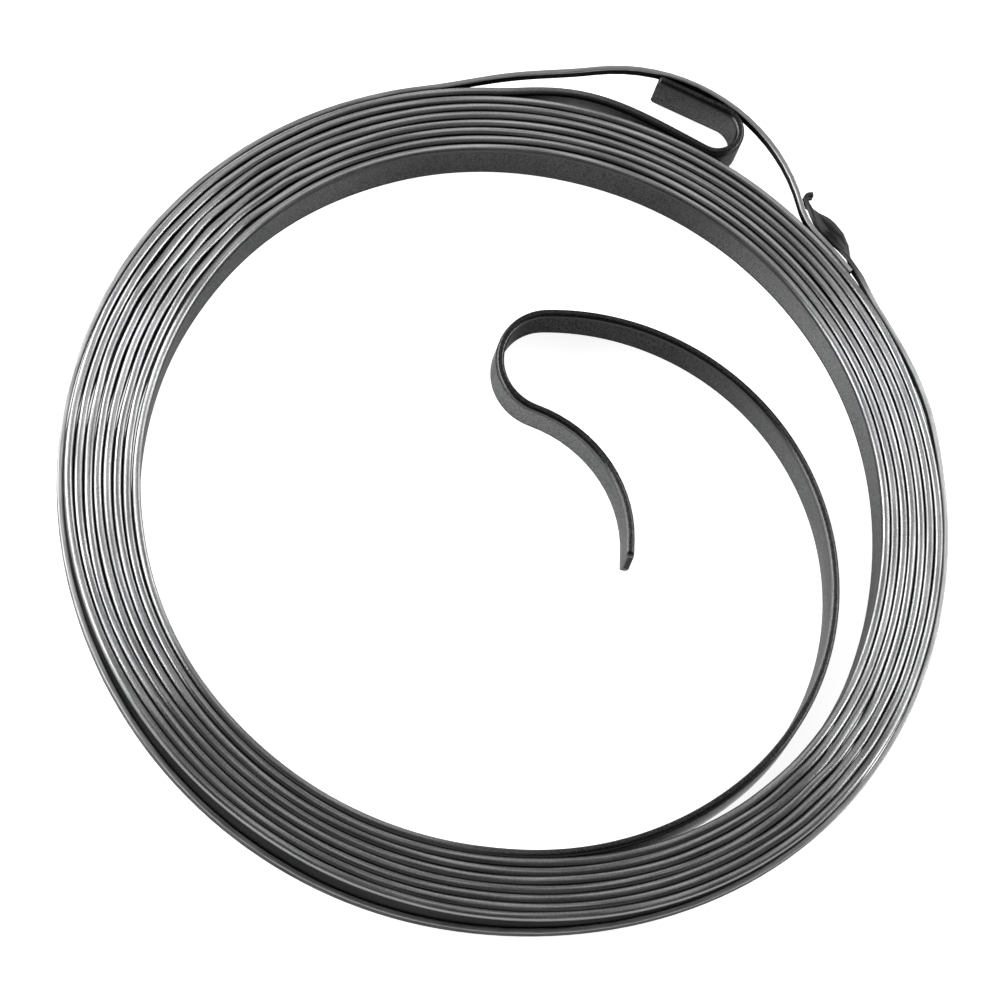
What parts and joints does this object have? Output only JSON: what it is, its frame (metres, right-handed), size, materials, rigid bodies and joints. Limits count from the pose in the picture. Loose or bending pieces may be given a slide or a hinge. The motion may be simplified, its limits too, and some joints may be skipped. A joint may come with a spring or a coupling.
{
  "type": "spiral power spring",
  "caption": "Spiral power spring: a flat steel strip in a tight coil, with a curved inner tail, a hooked outer end and a thin band that holds the coil closed. Stores torque when wound.",
  "frame": {"origin": "on the axis of the coil, in the plane of its lower edges", "axes": "+Z along the axis of the coil, up from the surface that it lies on; +Y from the axis towards the top of the coil, where the last turn ends and the hook begins; +X towards the side of the hook"},
  "size_m": [0.0836, 0.0866, 0.0048],
  "materials": {
    "spring_steel": "dark oil-tempered strip, satin, with bright rolled edges",
    "band_steel": "plain thin steel band, satin"
  },
  "bodies": {
    "root": {"power_spring": "spring_steel", "retaining_band": "band_steel"}
  },
  "joints": []
}
